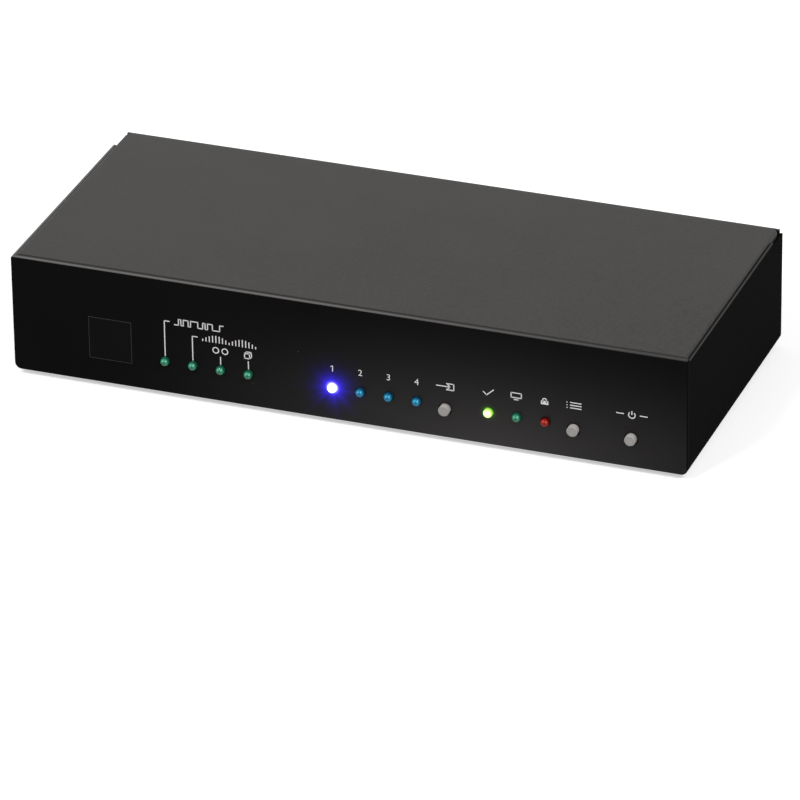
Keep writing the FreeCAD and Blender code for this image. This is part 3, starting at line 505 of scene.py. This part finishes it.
slotOf = {part["node"]: part["material_slot"] for part in frame["record"]["subparts"]}
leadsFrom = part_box("led_carrier_audio")[0].y - lead["before"] * mm
lit = []
for name, node in nodes.items():
    slot = slotOf[name]
    finish = finishes.get(slot)
    if slot in lampLooks:
        low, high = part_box(name)
        centre = ((low.x + high.x) / 2, 0, high.z - lampRadius * mm)
        finish = lampResin(name + "_resin", lampLooks[slot], centre, leadsFrom)
        if "halo" in lampLooks[slot]:
            lit.append((centre, lampLooks[slot]))
    for place in node.material_slots:
        place.material = finish
addPaintedGlow(finishes["face_paint"], lit)
print("finishes on the frame:", len(finishes), "and one for each lamp")


# Pieces that ride on the frame

def savePiece(bm, name, finish, body, replaces=(), smooth=35):
    mesh = bpy.data.meshes.new(name)
    bm.to_mesh(mesh)
    bm.free()
    mesh.polygons.foreach_set("use_smooth", [True] * len(mesh.polygons))
    mesh.set_sharp_from_angle(angle=math.radians(smooth))
    mesh.materials.append(finish)
    piece = bpy.data.objects.new(name, mesh)
    scene.collection.objects.link(piece)
    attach(piece, body)
    if replaces:
        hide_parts(*replaces)


def turned(bm, profile, centre, steps=48):  # profile holds (distance along Y, radius) in millimetres
    made = [bm.verts.new(centre + Vector((0, along * mm, radius * mm))) for along, radius in profile]
    edges = [bm.edges.new(pair) for pair in zip(made, made[1:])]
    bmesh.ops.spin(bm, geom=made + edges, cent=centre, axis=(0, 1, 0), angle=math.tau, steps=steps,
                   use_merge=True)
    bmesh.ops.remove_doubles(bm, verts=bm.verts, dist=1e-6)
    bmesh.ops.recalc_face_normals(bm, faces=bm.faces)


# Printed marks: white ink, a hair proud of the paint

ink = {"wall": 0.05, "proud": 0.012, "line": 0.33, "digit": 2.08}
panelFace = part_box("front_panel")[0].y
inkMaterial, tree, shader, place = startFinish("whiteInk")
inkGrain = noise(tree, place, 0.12, 3)
setSockets(tree, shader, {
    "Base Color": blendColours(tree, spread(tree, inkGrain, 0, 1), (0.5, 0.5, 0.5, 1), (0.74, 0.74, 0.74, 1)),
    "Roughness": spread(tree, inkGrain, 0.45, 0.6),
    "Specular IOR Level": 0.3,
})
addBumps(tree, shader, inkGrain, 0.003)
inkMiddle = panelFace + (ink["wall"] / 2 - ink["proud"]) * mm


def inkBar(bm, start, end, width=None):
    width = width or ink["line"]
    way = Vector((end[0] - start[0], end[1] - start[1]))
    middle = Matrix.Translation(((start[0] + end[0]) / 2 * mm, inkMiddle, (start[1] + end[1]) / 2 * mm))
    aim = Matrix.Rotation(-math.atan2(way.y, way.x), 4, "Y")
    size = Matrix.Diagonal(((way.length + ink["line"] * 0.5) * mm, ink["wall"] * mm, width * mm, 1))
    bmesh.ops.create_cube(bm, size=1, matrix=middle @ aim @ size)


def inkPath(bm, *points):
    for start, end in zip(points, points[1:]):
        inkBar(bm, start, end)


def inkRing(bm, centre, radius, start=0, sweep=360):
    middle = Vector((centre[0] * mm, inkMiddle, centre[1] * mm))
    aim = Vector((math.cos(math.radians(start)), 0, math.sin(math.radians(start))))
    half, deep = ink["line"] / 2, Vector((0, ink["wall"] / 2 * mm, 0))
    made = [bm.verts.new(middle + aim * (radius + side * half) * mm + deep * turn)
            for side, turn in ((-1, -1), (1, -1), (1, 1), (-1, 1))]
    whole = sweep == 360
    section = made + [bm.edges.new((made[i - 1], made[i])) for i in range(4)]
    if not whole:
        section.append(bm.faces.new(made))
    bmesh.ops.spin(bm, geom=section, cent=middle, axis=(0, -1, 0), angle=math.radians(sweep),
                   steps=max(8, round(sweep / 11)), use_merge=whole)


def inkText(bm, text, x, z):
    letters = bpy.data.curves.new("digit", "FONT")
    letters.body = text
    letters.align_x = "CENTER"
    letters.extrude = 0.5
    holder = bpy.data.objects.new("digit", letters)
    scene.collection.objects.link(holder)
    mesh = bpy.data.meshes.new_from_object(holder.evaluated_get(bpy.context.evaluated_depsgraph_get()))
    bpy.data.objects.remove(holder)
    heights = [v.co.y for v in mesh.vertices]
    low, scale = min(heights), ink["digit"] * mm / (max(heights) - min(heights))
    size = Matrix.Diagonal((scale, scale, ink["wall"] * mm, 1)) @ Matrix.Translation((0, -low, 0))
    foot = Matrix.Translation((x * mm, inkMiddle, (z - ink["digit"] / 2) * mm))
    mesh.transform(foot @ Matrix.Rotation(math.pi / 2, 4, "X") @ size)
    bm.from_mesh(mesh)
    bpy.data.meshes.remove(mesh)


def saveInk(bm, name):
    bmesh.ops.remove_doubles(bm, verts=bm.verts, dist=1e-6)
    bmesh.ops.recalc_face_normals(bm, faces=bm.faces)
    savePiece(bm, name, inkMaterial, "housing")


audioMarks = {
    "lamps": (-59.2, -50.03, -40.86, -31.69), "lampTop": 14.75, "tick": 1.7,
    "leads": (26.95, 23.1, 17.4, 17.4),
    "pulse": {"x": -55.9, "z": 27.15, "half": 1.0,
              "widths": (1.4, 0.8, 0.8, 1.6, 0.8, 2.4, 1.6, 0.8, 0.8, 1.6, 2.4, 1.2)},
    "steps": {"x": -46.6, "z": 23.25, "gap": 1.09, "count": 17, "tall": 2.3, "least": 0.28},
    "pair": {"x": -40.86, "z": 19.5, "radius": 0.95, "gap": 1.5},
    "cube": {"x": -31.75, "z": 19.5, "half": 0.82, "shift": 0.62},
}
bm = bmesh.new()
for i, (x, top) in enumerate(zip(audioMarks["lamps"], audioMarks["leads"])):
    inkBar(bm, (x, audioMarks["lampTop"]), (x, top))
    if i < 2:
        inkBar(bm, (x, top), (x + audioMarks["tick"], top))
mark = audioMarks["pulse"]
x, high = mark["x"], False
for width in mark["widths"]:
    z = mark["z"] + (mark["half"] if high else -mark["half"])
    inkBar(bm, (x, z), (x + width, z))
    x, high = x + width, not high
    if width is not mark["widths"][-1]:
        inkBar(bm, (x, mark["z"] - mark["half"]), (x, mark["z"] + mark["half"]))
mark = audioMarks["steps"]
for i in range(mark["count"]):
    swing = abs(math.sin(i * math.tau / (mark["count"] - 1)))
    tall = mark["tall"] * (mark["least"] + (1 - mark["least"]) * swing)
    x, low = mark["x"] + i * mark["gap"], mark["z"] - mark["tall"] / 2
    inkBar(bm, (x, low), (x, low + tall))
mark = audioMarks["pair"]
for side in (-1, 1):
    inkRing(bm, (mark["x"] + side * mark["gap"], mark["z"]), mark["radius"])
mark = audioMarks["cube"]
half, shift = mark["half"], mark["shift"]
near = [(mark["x"] - shift / 2 + sx * half, mark["z"] - shift / 2 + sz * half)
        for sx, sz in ((-1, -1), (1, -1), (1, 1), (-1, 1))]
inkPath(bm, *near, near[0])
far = [(x + shift, z + shift) for x, z in near]
inkPath(bm, far[1], far[2], far[3])
for i in (1, 2, 3):
    inkBar(bm, near[i], far[i])
saveInk(bm, "print_audio")

inputMarks = {
    "row": 19.6,
    "digits": {"1": -4.2, "2": 4.97, "3": 14.14, "4": 23.31},
    "one": {"stem": 0.15, "flag": 0.05, "wide": 0.5, "fall": 0.4, "bold": 0.9, "light": 0.75},
    "arrow": {"x": 29.7, "tip": 34.1, "head": 0.85},
    "bracket": {"x": 32.9, "wide": 2.4, "half": 1.05},
}
bm = bmesh.new()
row, one = inputMarks["row"], inputMarks["one"]
for digit, x in inputMarks["digits"].items():
    if digit == "1":
        tall = ink["digit"] / 2 - ink["line"] / 4
        inkBar(bm, (x + one["stem"], row - tall), (x + one["stem"], row + tall), ink["line"] * one["bold"])
        inkBar(bm, (x + one["flag"], row + tall), (x + one["flag"] - one["wide"], row + tall - one["fall"]),
               ink["line"] * one["light"])
    else:
        inkText(bm, digit, x, row)
mark = inputMarks["arrow"]
tip = (mark["tip"], row)
inkBar(bm, (mark["x"], row), tip)
for side in (-1, 1):
    inkBar(bm, tip, (tip[0] - mark["head"], row + side * mark["head"]))
mark = inputMarks["bracket"]
inkPath(bm, (mark["x"], row - mark["half"]), (mark["x"] + mark["wide"], row - mark["half"]),
        (mark["x"] + mark["wide"], row + mark["half"]), (mark["x"], row + mark["half"]))
saveInk(bm, "print_inputs")

statusMarks = {
    "row": 19.98,
    "tick": {"x": 46.4, "points": ((-1.6, 0), (-0.5, -1), (1.7, 1))},
    "screen": {"x": 55.4, "half": 1.65, "low": -0.45, "high": 1.15, "foot": 0.7, "stand": -1.1},
    "padlock": {"x": 64.5, "half": 1.1, "middle": -0.575, "tall": 1.25, "shackle": 0.62, "neck": 0.825},
    "list": {"x": 73.9, "half": 2.3, "gap": 0.92, "dot": 0.15, "indent": 1.1},
    "power": {"x": 92.3, "middle": -0.1, "radius": 1.05, "opening": 84, "stroke": (0.05, 1.15),
              "dash": (2.6, 4.9)},
}
bm = bmesh.new()
row = statusMarks["row"]
mark = statusMarks["tick"]
inkPath(bm, *((mark["x"] + x, row + z) for x, z in mark["points"]))
mark = statusMarks["screen"]
corners = [(mark["x"] + side * mark["half"], row + mark[edge])
           for side, edge in ((-1, "low"), (1, "low"), (1, "high"), (-1, "high"))]
inkPath(bm, *corners, corners[0])
inkBar(bm, (mark["x"] - mark["foot"], row + mark["stand"]), (mark["x"] + mark["foot"], row + mark["stand"]))
mark = statusMarks["padlock"]
middle = row + mark["middle"]
inkBar(bm, (mark["x"] - mark["half"], middle), (mark["x"] + mark["half"], middle), mark["tall"])
inkRing(bm, (mark["x"], middle + mark["neck"]), mark["shackle"], 0, 180)
for side in (-1, 1):
    x = mark["x"] + side * mark["shackle"]
    inkBar(bm, (x, middle), (x, middle + mark["neck"]))
mark = statusMarks["list"]
for i in (-1, 0, 1):
    left, z = mark["x"] - mark["half"], row + i * mark["gap"]
    inkBar(bm, (left, z), (left + mark["dot"], z))
    inkBar(bm, (left + mark["indent"], z), (mark["x"] + mark["half"], z))
mark = statusMarks["power"]
inkRing(bm, (mark["x"], row + mark["middle"]), mark["radius"],
        90 + mark["opening"] / 2, 360 - mark["opening"])
inkBar(bm, *((mark["x"], row + z) for z in mark["stroke"]))
for side in (-1, 1):
    inkBar(bm, *((mark["x"] + side * x, row) for x in mark["dash"]))
saveInk(bm, "print_status")
print("marks printed")

# Push buttons: turned plungers with a rounded rim

plunger = {"shaft": 1.75, "reach": 1.7, "rim": 0.32, "dish": 0.05, "dishRim": 0.5, "collar": 0.7}
for name in ("input_button", "edid_button", "power_button"):
    low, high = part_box(name)
    centre = Vector(((low.x + high.x) / 2, panelFace, (low.z + high.z) / 2))
    back, wide, shaft = (high.y - panelFace) / mm, (high.x - low.x) / 2 / mm, plunger["shaft"]
    collar, tip = back - plunger["collar"], -plunger["reach"]
    bm = bmesh.new()
    turned(bm, ((tip + plunger["dish"], 0), (tip, shaft - plunger["dishRim"]), (tip, shaft), (collar, shaft),
                (collar, wide), (back, wide), (back, 0)), centre)
    rim = [edge for edge in bm.edges if all(
        abs(v.co.y - panelFace - tip * mm) < 1e-6 and abs((v.co - centre).xz.length - shaft * mm) < 1e-6
        for v in edge.verts)]
    bmesh.ops.bevel(bm, geom=rim, offset=plunger["rim"] * mm, segments=4, profile=0.5, affect="EDGES",
                    material=-1)
    savePiece(bm, name + "_plunger", finishes["button_plastic"], name, [name])
print("buttons turned")

# Rear screws: pan heads with a cross recess

screw = {
    "head": ((0, 2.8), (0.6, 2.8), (1.05, 2.62), (1.45, 2.1), (1.7, 1.35), (1.8, 0)),
    "shank": ((-5.0, 0), (-5.0, 0.9), (-4.4, 1.45), (0, 1.45)),
    "recess": {"half": 1.45, "arm": 0.36, "ends": ((1.9, 1), (0.65, 0.45))},
    "turn": (17, 900, 700),
}
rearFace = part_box("rear_panel")[1].y
low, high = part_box("rear_screws")
margin = screw["head"][0][1] * mm


def crossRecess(bm):
    cut = screw["recess"]
    for half, arm in ((cut["half"], cut["arm"]), (cut["arm"], cut["half"])):
        made = []
        for reach, scale in cut["ends"]:
            made.append([bm.verts.new(Vector((sx * half * scale, reach, sz * arm * scale)) * mm)
                         for sx, sz in ((-1, -1), (1, -1), (1, 1), (-1, 1))])
        bm.faces.new(made[0])
        bm.faces.new(made[1][::-1])
        for i in range(4):
            bm.faces.new((made[0][i - 1], made[0][i], made[1][i], made[1][i - 1]))
        bmesh.ops.recalc_face_normals(bm, faces=bm.faces)


def meshOf(bm, name):
    mesh = bpy.data.meshes.new(name)
    bm.to_mesh(mesh)
    bm.free()
    return mesh


bm = bmesh.new()
turned(bm, screw["shank"] + screw["head"], Vector((0, 0, 0)), 40)
blank = bpy.data.objects.new("blank", meshOf(bm, "blank"))
bm = bmesh.new()
crossRecess(bm)
cutter = bpy.data.objects.new("cutter", meshOf(bm, "cutter"))
for thing in (blank, cutter):
    scene.collection.objects.link(thing)
cut = blank.modifiers.new("recess", "BOOLEAN")
cut.object = cutter
cut.operation = "DIFFERENCE"
cut.solver = "EXACT"
cut.use_self = True
screwMesh = bpy.data.meshes.new_from_object(blank.evaluated_get(bpy.context.evaluated_depsgraph_get()))
for thing in (blank, cutter):
    bpy.data.objects.remove(thing)
bm = bmesh.new()
first, perX, perZ = screw["turn"]
for x in (low.x + margin, high.x - margin):
    for z in (low.z + margin, high.z - margin):
        copy = screwMesh.copy()
        turn = Matrix.Rotation(math.radians(first + perX * x + perZ * z), 4, "Y")
        copy.transform(Matrix.Translation((x, rearFace, z)) @ turn)
        bm.from_mesh(copy)
        bpy.data.meshes.remove(copy)
savePiece(bm, "rear_screw_heads", finishes["screw_steel"], "housing", ["rear_screws"])
print("screws cut")

# Gold strips over and under each tongue, and the two leaf springs in the roof of each shell

contacts = {"wide": 0.42, "thick": 0.05, "pitch": 1.0, "start": 1.4, "end": 0.35, "under": 10, "over": 9,
            "top": 3.1, "bottom": 1.6, "floor": 0.35}
spring = {"wide": 1.5, "long": 5.6, "thick": 0.14, "lean": 4.5, "apart": 3.6, "in": 1.4}
for name in ("hdmi_out", "hdmi_in_1", "hdmi_in_2", "hdmi_in_3", "hdmi_in_4"):
    low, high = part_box(name + "_shell")
    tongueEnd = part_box(name + "_tongue")[1].y
    middle, ground = (low.x + high.x) / 2, low.z + contacts["floor"] * mm
    bm = bmesh.new()
    for count, height in ((contacts["under"], contacts["bottom"]), (contacts["over"], contacts["top"])):
        for i in range(count):
            x = middle + (i - (count - 1) / 2) * contacts["pitch"] * mm
            start, end = low.y + contacts["start"] * mm, tongueEnd - contacts["end"] * mm
            place = Matrix.Translation((x, (start + end) / 2, ground + height * mm))
            size = Matrix.Diagonal((contacts["wide"] * mm, end - start, contacts["thick"] * mm, 1))
            bmesh.ops.create_cube(bm, size=1, matrix=place @ size)
    savePiece(bm, name + "_contacts", finishes["contact_gold"], "housing")
    bm = bmesh.new()
    lean = math.radians(spring["lean"])
    drop = contacts["floor"] + spring["thick"] / 2 + spring["long"] / 2 * math.sin(lean)
    size = Matrix.Diagonal((spring["wide"] * mm, spring["long"] * mm, spring["thick"] * mm, 1))
    for side in (-1, 1):
        place = Matrix.Translation((middle + side * spring["apart"] * mm,
                                    high.y - (spring["in"] + spring["long"] / 2) * mm, high.z - drop * mm))
        bmesh.ops.create_cube(bm, size=1, matrix=place @ Matrix.Rotation(lean, 4, "X") @ size)
    savePiece(bm, name + "_springs", finishes["socket_steel"], "housing")
print("contacts and springs placed")

# Jack barrels with rolled lips and a sleeve in each core, and the inlet's rounded pin

barrel = {"outer": 4.15, "wall": 0.6, "lip": 0.22, "round": 0.066}
sleeve = {"outer": 1.62, "inner": 1.42, "start": -6.4, "end": -0.5, "chamfer": (0.1, 0.06)}
for name in ("coax_jack", "left_jack", "right_jack"):
    low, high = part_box(name + "_barrel")
    centre = Vector(((low.x + high.x) / 2, high.y, (low.z + high.z) / 2))
    back, outer, lip, middle = (low.y - high.y) / mm, barrel["outer"], barrel["lip"], barrel["round"]
    inner = outer - barrel["wall"]
    bm = bmesh.new()
    turned(bm, ((back, inner), (-lip, inner), (-middle, inner + middle), (0, inner + lip), (0, outer - lip),
                (-middle, outer - middle), (-lip, outer), (back, outer), (back, inner)), centre)
    savePiece(bm, name + "_rim", finishes["barrel_nickel"], "housing", [name + "_barrel"])
    core = Vector((centre.x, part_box(name + "_body")[1].y, centre.z))
    start, end, inner, outer = (sleeve[key] for key in ("start", "end", "inner", "outer"))
    deep, wide = sleeve["chamfer"]
    bm = bmesh.new()
    turned(bm, ((start, inner), (end - deep, inner), (end, inner + wide), (end, outer), (start, outer),
                (start, inner)), core, 32)
    savePiece(bm, name + "_sleeve", finishes["contact_gold"], "housing")
low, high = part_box("dc_inlet_pin")
centre = Vector(((low.x + high.x) / 2, high.y, (low.z + high.z) / 2))
wide, back, steps = (high.x - low.x) / 2 / mm, (low.y - high.y) / mm, 8
turns = [i * math.pi / 2 / steps for i in range(steps)]
dome = [(-wide * (1 - math.sin(turn)), wide * math.cos(turn)) for turn in turns]
bm = bmesh.new()
turned(bm, ((back, 0), (back, wide), *dome, (0, 0)), centre)
savePiece(bm, "dc_inlet_contact", finishes["pin_nickel"], "housing", ["dc_inlet_pin"])
print("jacks and inlet turned")

size = {"cad": [list(corner) for corner in cadBox], "visual": [list(corner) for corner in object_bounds()]}
